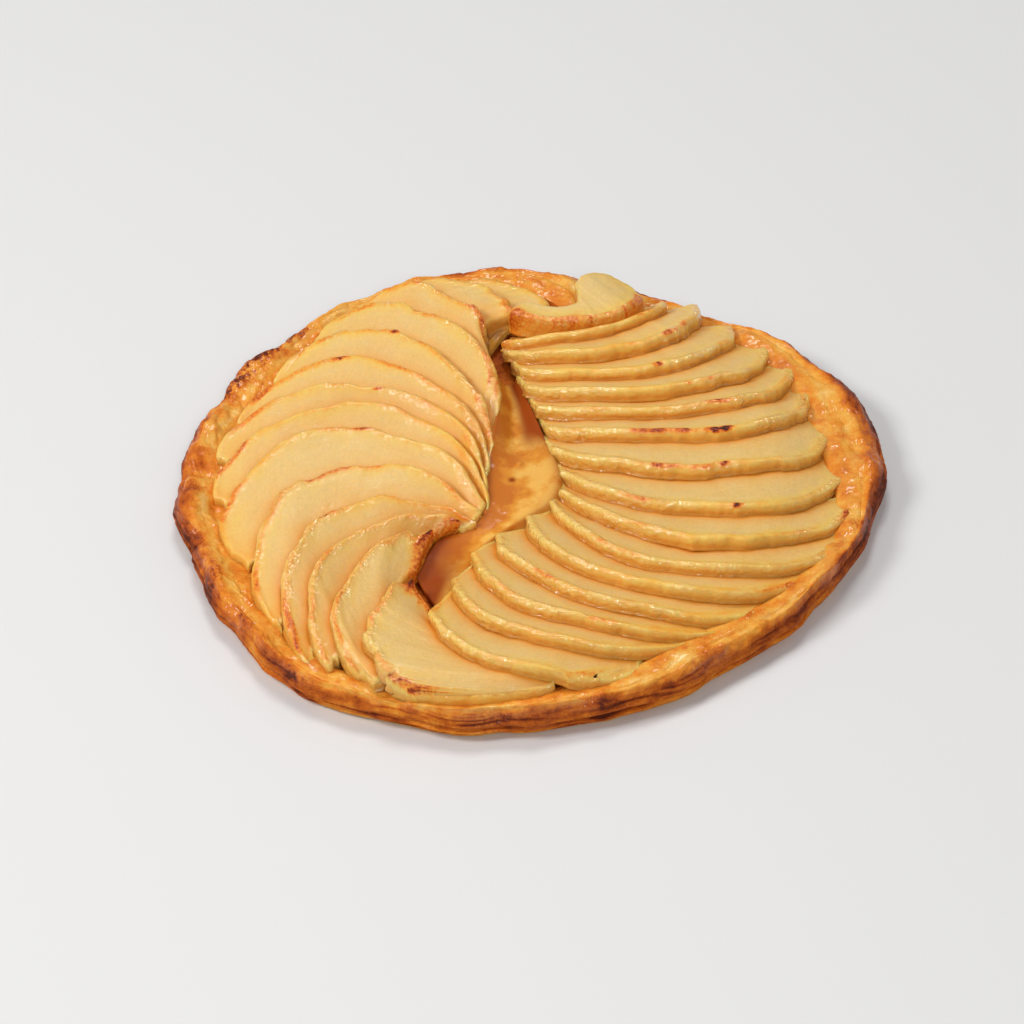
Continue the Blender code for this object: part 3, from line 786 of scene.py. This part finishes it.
    share_in = np.clip((outer[None, :] - radius) / width[None, :], 0.0, 1.2)
    brown = 0.26 + 0.15 * fractal(skin(6.0, 4.0), 21, 3)
    shoulder = blend(5.2, 6.4, depth) * blend(8.4, 7.4, depth)
    baked = 0.6 + 0.6 * soft_noise(skin(9.0, 6.0), 24)
    baked += 0.6 * bell(((degrees + 12.0) % 360.0 - 18.0) / 34.0)
    brown = brown + 0.30 * side + 0.16 * shoulder * baked
    # The side is painted darker where the layers and plates sink in and lighter where they stand
    # out: painted shade in the recesses
    brown = brown - 0.10 * side * layers - 0.10 * side * plates
    brown += 0.35 * side * np.clip(-layers - 0.22, 0.0, 1.0)
    # Raised blisters are browner from baking; the sunken folds and pinches are darker as painted
    # shade in the creases, and raised scurf a little lighter
    brown += upper * (0.16 * blister + 0.10 * long_fold + 0.06 * pinch - 0.05 * scurf)
    for centre, half_width, outside, strength in BAKED:
        reach_in = blend(outside, 0.5 * outside, share_in)
        brown += strength * bell(turned(degrees, centre) / half_width) * reach_in
    scorch = 0.0 * brown
    mottle = 0.6 + 0.7 * np.clip(fractal(skin(1.6, 1.6), 22, 3), -0.6, 1.0)
    for centre, half_width, where, strength in SCORCHED:
        away = turned(degrees, centre) / half_width
        spot = np.exp(-(away**2) - ((share_in - where) / 0.28) ** 2)
        scorch += 0.5 * strength * spot * mottle * blend(2.0, 5.0, depth)
    glazed = blend(9.6, 10.6, depth)
    brown += glazed * (0.40 + 0.14 * fractal(skin(4.0, 3.0), 27, 2) - brown)
    wet = 0.15 + 0.45 * soft_noise(skin(5.0, 4.0), 23) + 0.5 * blend(5.4, 7.0, depth)
    wet = np.maximum(wet, glazed * (0.8 + 0.5 * soft_noise(skin(6.0, 4.0), 29)))
    # Painted shade: the dough in the middle, under the fruit, is darkened and kept dull where it
    # shows through the gaps
    shaded_middle = blend(11.8, 13.2, depth)
    brown, wet = brown + shaded_middle * (0.72 - brown), wet * (1.0 - 0.8 * shaded_middle)
    paint = np.stack([brown, np.broadcast_to(side, brown.shape), scorch, wet], -1)
    paint = np.concatenate([paint.reshape(-1, 4), np.tile([[0.3, 0.0, 0.0, 0.2]], (2, 1))])
    grain = np.concatenate([
        np.stack([np.broadcast_to(arc, height.shape), height, share_in * 8.0], -1).reshape(-1, 3),
        np.zeros((2, 3)),
    ])
    points = np.concatenate([points.reshape(-1, 3), centres])
    return new_object("pastry_detail", points + CENTRE, faces, paint, grain, material)


# ---- compote ----
def make_compote(material):
    rows, columns = POOL_ROWS, POOL_COLUMNS
    knots = np.array(CROSSINGS)
    spot = np.linspace(0.0, len(knots) - 1.0, rows)
    index = np.minimum(spot.astype(int), len(knots) - 2)
    share = spot - index

    def smooth(values):
        return hermite(*neighbours(values, index), share[:, None] if values.ndim > 1 else share)

    right, left = smooth(rib_point(knots[:, 0], 0.0)), smooth(rib_point(knots[:, 1], 0.0))
    level = smooth(knots[:, 2])
    t = np.linspace(-0.08, 1.12, columns)
    plan = left[:, None, :] + (right - left)[:, None, :] * t[None, :, None]
    sheet = np.concatenate([plan, np.zeros(plan.shape[:-1] + (1,))], -1)
    dish = 0.3 * np.sin(math.pi * np.clip(t, 0, 1))[None, :]
    lumps = 0.12 * soft_noise(sheet / 5.5, 31) + 0.03 * soft_noise(sheet / 1.8, 32)
    cleft = (spot / (len(knots) - 1.0))[:, None]
    wetted = 1.1 * blend(0.72, 1.02, t)[None, :]
    wetted = wetted + (0.2 + 2.6 * blend(0.60, 0.78, cleft)) * blend(0.45, -0.05, t)[None, :]
    height = level[:, None] - dish + lumps + 0.8 + wetted
    height -= 2.5 * blend(1.0, 1.12, t)[None, :]
    for x, y, radius in BUBBLES:
        away = np.hypot(plan[..., 0] - x, plan[..., 1] - y) / radius
        height += 0.8 * radius * np.sqrt(np.clip(1.0 - away**2, 0.0, 1.0))
    top = np.concatenate([plan, height[..., None]], -1)
    low = top.copy()
    low[..., 2] = FLOOR + 0.1
    count = rows * columns
    points = np.concatenate([top.reshape(-1, 3), low.reshape(-1, 3)])
    faces = grid_faces(rows, columns).tolist()
    faces += grid_faces(rows, columns, count)[:, ::-1].tolist()
    loop = edge_loop(columns, rows) @ (columns, 1)
    after = np.roll(loop, -1)
    faces += np.stack([after, loop, loop + count, after + count], 1).tolist()
    tone = 0.5 + 0.5 * fractal(sheet / 5.0, 33, 2)
    tone = tone - 0.45 + 0.9 * blend(0.15, 0.75, t)[None, :]
    # Painted shade: darker at the sides, where the compote meets the slices, and in the narrow ends
    # of the cleft; the flecks are real dark flecks
    edge = np.exp(-np.minimum(np.abs(t), np.abs(t - 1.0)) / 0.08)[None, :] + 0 * tone
    edge += 1.8 * blend(0.24, 0.04, cleft) * blend(1.1, 0.6, t)[None, :]
    edge += 1.6 * blend(0.68, 0.80, cleft) * blend(0.40, 0.75, t)[None, :]
    for x, y, radius in FLECKS:
        away = np.hypot(plan[..., 0] - x, plan[..., 1] - y) / radius
        edge += 2.5 * bell(away)
    gloss = 0.45 * blend(0.22, 0.42, cleft) * blend(1.02, 0.85, cleft) + 0 * tone
    paint = np.tile(np.stack([tone, edge, gloss, 1 + 0 * tone], -1).reshape(-1, 4), (2, 1))
    grain = np.tile(sheet.reshape(-1, 3), (2, 1))
    return new_object("compote_pool", points + CENTRE, faces, paint, grain, material)


# ---- materials ----
class Graph:
    """Short way to build a node material."""

    def __init__(self, name):
        self.material = bpy.data.materials.new(name)
        self.material.use_nodes = True
        self.tree = self.material.node_tree
        self.shader = self.tree.nodes["Principled BSDF"]

    def add(self, kind, sockets=(), **settings):
        node = self.tree.nodes.new(kind)
        for key, value in settings.items():
            setattr(node, key, value)
        for key, value in dict(sockets).items():
            self.put(node.inputs[key], value)
        return node

    def put(self, socket, value):
        if hasattr(value, "is_linked") or hasattr(value, "links"):
            self.tree.links.new(value, socket)
        else:
            socket.default_value = value

    def math(self, operation, first, second=0.0, third=0.0, clamp=False):
        node = self.add("ShaderNodeMath", operation=operation, use_clamp=clamp)
        for socket, value in zip(node.inputs, (first, second, third)):
            self.put(socket, value)
        return node.outputs[0]

    def mix(self, factor, first, second, mode="MIX"):
        node = self.add("ShaderNodeMix", data_type="RGBA", blend_type=mode)
        for key, value in (("Factor_Float", factor), ("A_Color", first), ("B_Color", second)):
            socket = next(s for s in node.inputs if s.identifier == key)
            self.put(socket, (*value, 1.0) if isinstance(value, tuple) else value)
        return next(s for s in node.outputs if s.identifier == "Result_Color")

    def ramp(self, factor, stops):
        node = self.add("ShaderNodeValToRGB", {"Fac": factor})
        ramp = node.color_ramp
        while len(ramp.elements) < len(stops):
            ramp.elements.new(0.5)
        for element, (place, colour) in zip(ramp.elements, stops):
            element.position = place
            element.color = (*colour, 1.0)
        return node.outputs[0]

    def scale(self, value, factor, offset=0.0, clamp=False):
        return self.math("MULTIPLY_ADD", value, factor, offset, clamp)

    def noise(self, vector, scale, detail=2.0, roughness=0.5):
        node = self.add("ShaderNodeTexNoise", {
            "Vector": vector, "Scale": scale, "Detail": detail, "Roughness": roughness})
        return node.outputs["Fac"]

    def place(self):
        return self.add("ShaderNodeTexCoord").outputs["Object"]

    def paint(self):
        """The four channels painted on the mesh."""
        node = self.add("ShaderNodeAttribute", attribute_name="paint")
        channels = self.add("ShaderNodeSeparateColor", {"Color": node.outputs["Color"]})
        return *channels.outputs[:3], node.outputs["Alpha"]

    def streaks(self, stretch, roughness):
        """Noise that runs with the grain of the mesh."""
        grain = self.add("ShaderNodeAttribute", attribute_name="grain").outputs["Vector"]
        space = self.add("ShaderNodeMapping", {"Vector": grain, "Scale": stretch}).outputs[0]
        return self.noise(space, 1.0, 3.0, roughness)

    def bump(self, strength, distance, height, **more):
        sockets = {"Strength": strength, "Distance": distance, "Height": height, **more}
        return self.add("ShaderNodeBump", sockets).outputs[0]

    def set(self, **values):
        for key, value in values.items():
            self.put(self.shader.inputs[key.replace("_", " ")], value)


def apple_material():
    g = Graph("baked_apple")
    side, toast, low, wet = g.paint()
    place = g.place()
    fibre = g.streaks((1.6, 0.28, 1.0), 0.6)
    streak = g.streaks((0.14, 1.1, 1.0), 0.65)
    cells = g.noise(place, 2200.0, 3.0, 0.7)
    cloud = g.noise(place, 140.0, 3.0)
    speck = g.noise(place, 900.0, 3.0, 0.7)

    veil = g.scale(streak, 1.2, g.scale(cloud, 1.2, -0.8), clamp=True)
    flesh = g.mix(veil, *FLESH)
    fine = g.scale(speck, 0.14, g.scale(cells, 0.34, g.scale(fibre, 0.16, 0.66)))
    fine = g.add("ShaderNodeCombineColor", {"Red": fine, "Green": fine, "Blue": fine}).outputs[0]
    flesh = g.mix(1.0, flesh, fine, "MULTIPLY")
    patch = g.scale(g.noise(place, 330.0, 2.0), 2.4, -0.7, clamp=True)
    gold = g.mix(g.scale(patch, g.scale(toast, 3.0, 0.2), clamp=True), *GOLD)
    grains = g.scale(g.noise(place, 1500.0, 2.0, 0.6), 3.0, -1.35, clamp=True)
    gold = g.mix(g.scale(grains, 0.62), gold, GOLD_GRAINS)
    amount = g.scale(speck, 0.5, g.scale(side, 1.0, -0.25), clamp=True)
    colour = g.mix(g.scale(amount, 0.9), flesh, gold)
    # The third painted channel, low, is painted shade: it mixes in the crevice shade colour under
    # the peel edges
    colour = g.mix(g.scale(low, 1.1, clamp=True), colour, CREVICE_SHADE)
    speckled = g.scale(g.noise(place, 1500.0, 3.0, 0.7), 2.2, -1.1)
    level = g.scale(speckled, g.math("MINIMUM", toast, 0.6))
    level = g.math("ADD", toast, level, clamp=True)
    amount = g.scale(g.math("SUBTRACT", level, 0.10), 2.4, clamp=True)
    colour = g.mix(amount, colour, g.ramp(level, TOAST_RAMP))

    gloss = g.math("ADD", g.noise(place, 950.0, 1.0, 0.5), g.noise(place, 420.0, 1.0))
    gloss = g.scale(g.noise(place, 2000.0, 1.0), 0.5, gloss)
    strength = g.scale(wet, 0.8, 0.2, clamp=True)
    fine_bump = g.bump(0.3, 0.0004, g.math("ADD", g.scale(cells, 0.10), g.scale(fibre, 0.12)))
    coat = g.scale(wet, 1.7, -0.05, clamp=True)
    bare = g.scale(level, -1.6, 1.4, clamp=True)
    g.set(
        Base_Color=colour, Roughness=g.scale(wet, -0.2, 0.5, clamp=True), Specular_IOR_Level=0.25,
        Normal=g.bump(strength, 0.0003, gloss, Normal=fine_bump),
        Coat_Weight=g.scale(coat, bare), Coat_Roughness=0.05, Coat_IOR=1.8,
        Coat_Normal=g.bump(strength, 0.0008, gloss),
        Subsurface_Weight=0.4, Subsurface_Radius=(1.0, 0.45, 0.12), Subsurface_Scale=0.003,
    )
    return g.material


def pastry_material():
    g = Graph("baked_pastry")
    brown, side, scorch, wet = g.paint()
    place = g.place()
    mottle = g.noise(place, 420.0, 4.0, 0.65)
    crumb = g.noise(place, 1800.0, 3.0, 0.6)
    streak = g.streaks((0.35, 3.2, 0.35), 0.6)
    level = g.math("ADD", brown, g.scale(mottle, 0.55, -0.275))
    level = g.math("ADD", level, g.scale(crumb, 0.30, -0.15))
    grit = g.scale(g.noise(place, 1100.0, 3.0, 0.7), 3.0, -1.0, clamp=True)
    level = g.math("ADD", level, g.scale(scorch, grit))
    level = g.math("SUBTRACT", level, g.scale(side, g.scale(streak, 0.22, -0.11)), clamp=True)
    relief = g.math("ADD", g.scale(mottle, 0.7), g.scale(crumb, 0.25))
    relief = g.math("ADD", relief, g.scale(streak, g.scale(side, 0.8)))
    glaze = g.math("ADD", g.noise(place, 950.0, 1.0), g.noise(place, 420.0, 1.0))
    coat = g.scale(wet, 0.9, -0.25, clamp=True)
    bare = g.scale(level, -1.6, 1.9, clamp=True)
    g.set(
        Base_Color=g.ramp(level, CRUST_RAMP), Roughness=g.scale(wet, -0.2, 0.58, clamp=True),
        Specular_IOR_Level=0.10, Normal=g.bump(0.6, 0.0009, relief),
        Coat_Weight=g.scale(coat, bare), Coat_Roughness=0.045, Coat_IOR=1.55,
        Coat_Normal=g.bump(0.4, 0.0005, glaze),
        Subsurface_Weight=0.12, Subsurface_Radius=(1.0, 0.4, 0.1), Subsurface_Scale=0.0015,
    )
    return g.material


def compote_material():
    g = Graph("compote")
    tone, edge, gloss, _ = g.paint()
    place = g.place()
    cloud = g.noise(place, 450.0, 3.0, 0.6)
    level = g.scale(cloud, 1.1, g.scale(tone, 0.6, -0.38), clamp=True)
    colour = g.ramp(level, COMPOTE_RAMP)
    film = g.math("ADD", g.noise(place, 800.0, 1.0), g.noise(place, 300.0, 1.0))
    # The second painted channel is painted shade at the sides and clefts, and the dark flecks
    g.set(
        Base_Color=g.mix(g.scale(edge, 0.6, clamp=True), colour, COMPOTE_SHADE_AND_FLECKS),
        Roughness=0.4, Specular_IOR_Level=0.1,
        Normal=g.bump(0.2, 0.0006, g.noise(place, 350.0, 2.0)),
        Coat_Weight=g.scale(edge, -0.35, gloss, clamp=True), Coat_Roughness=0.05,
        Coat_Normal=g.bump(0.25, 0.0005, film),
        Subsurface_Weight=0.25, Subsurface_Radius=(1.0, 0.35, 0.06), Subsurface_Scale=0.003,
    )
    return g.material


# ---- surroundings ----
def table_material():
    g = Graph("floor")
    tint = g.scale(g.noise(g.place(), 3.0), 0.1)
    g.set(Base_Color=g.mix(tint, TABLE, tuple(0.97 * c for c in TABLE)), Roughness=0.6)
    return g.material


def add_floor():
    corners = ((-1, -1), (1, -1), (1, 1), (-1, 1))
    points = [(x * TABLE_HALF, y * TABLE_HALF, 0.0) for x, y in corners]
    mesh = bpy.data.meshes.new("floor")
    mesh.from_pydata(points, [], [(0, 1, 2, 3)])
    mesh.materials.append(table_material())
    floor = bpy.data.objects.new("floor", mesh)
    floor.location.z = -TABLE_DROP
    bpy.context.scene.collection.objects.link(floor)


def add_lamp(name, place, size, power):
    light = bpy.data.lights.new(name, "AREA")
    light.shape = "RECTANGLE"
    light.size, light.size_y = size
    light.energy = power
    lamp = bpy.data.objects.new(name, light)
    lamp.location = place
    lamp.rotation_euler = (-Vector(place)).to_track_quat("-Z", "Y").to_euler()
    bpy.context.scene.collection.objects.link(lamp)


def add_world():
    world = bpy.data.worlds.new("studio")
    world.use_nodes = True
    background = world.node_tree.nodes["Background"]
    background.inputs["Color"].default_value = (1.0, 1.0, 1.0, 1.0)
    background.inputs["Strength"].default_value = WORLD_STRENGTH
    bpy.context.scene.world = world


def add_camera():
    data = bpy.data.cameras.new("camera")
    data.sensor_width = CAMERA_SENSOR
    data.lens = CAMERA_LENS
    data.clip_end = 20.0
    place = (Vector(CAMERA_PLACE) + Vector(CENTRE)) * MM
    camera = bpy.data.objects.new("camera", data)
    camera.matrix_world = Matrix.Translation(place) @ Matrix(CAMERA_AXES).transposed().to_4x4()
    bpy.context.scene.collection.objects.link(camera)
    bpy.context.scene.camera = camera


# ---- assembly ----
crust = pastry_material()
apple = apple_material()
fruit = compote_material()

pastry = make_pastry(crust)
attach(pastry, "root")
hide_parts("pastry")

pool = make_compote(fruit)
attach(pool, "root")
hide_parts("compote")

for number in range(1, SLICES + 1):
    piece = make_slice(number, apple)
    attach(piece, "root")
    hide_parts(f"slice_{number:02d}")

add_floor()
add_world()
for lamp in LAMPS:
    add_lamp(*lamp)
add_camera()
bpy.context.scene.view_settings.view_transform = "Standard"
